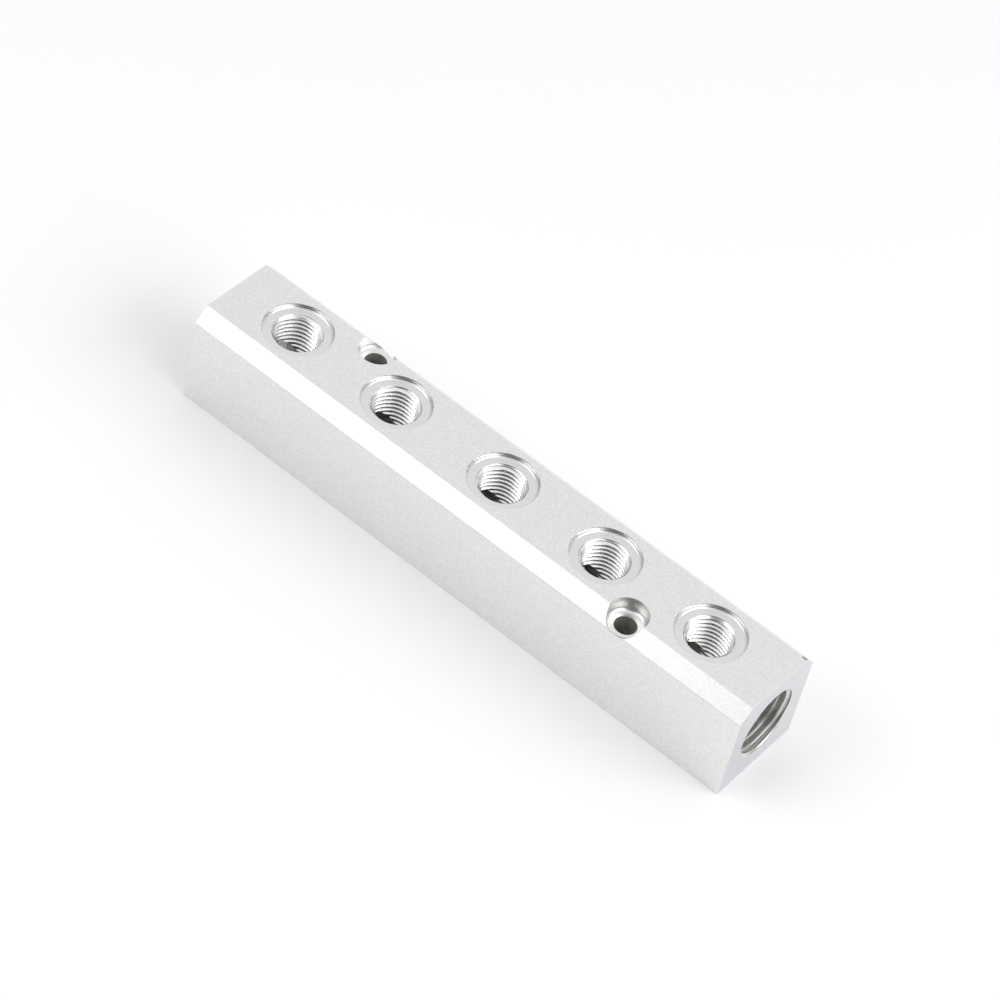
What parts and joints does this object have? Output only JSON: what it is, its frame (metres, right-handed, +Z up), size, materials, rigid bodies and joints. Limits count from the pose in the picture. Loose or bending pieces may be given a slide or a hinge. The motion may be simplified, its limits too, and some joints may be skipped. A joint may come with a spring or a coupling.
{
  "type": "air manifold block",
  "caption": "Square aluminium manifold bar with a row of recessed threaded outlets on top, a larger threaded inlet at each end and counterbored mounting holes.",
  "frame": {"origin": "middle of the flat bottom face", "axes": "+X along the bar, +Z up through the outlets"},
  "size_m": [0.1764, 0.03, 0.03],
  "materials": {
    "block": "matte clear anodised outside, bright cut metal in the ports"
  },
  "bodies": {
    "root": {"manifold_block": "block"}
  },
  "joints": []
}
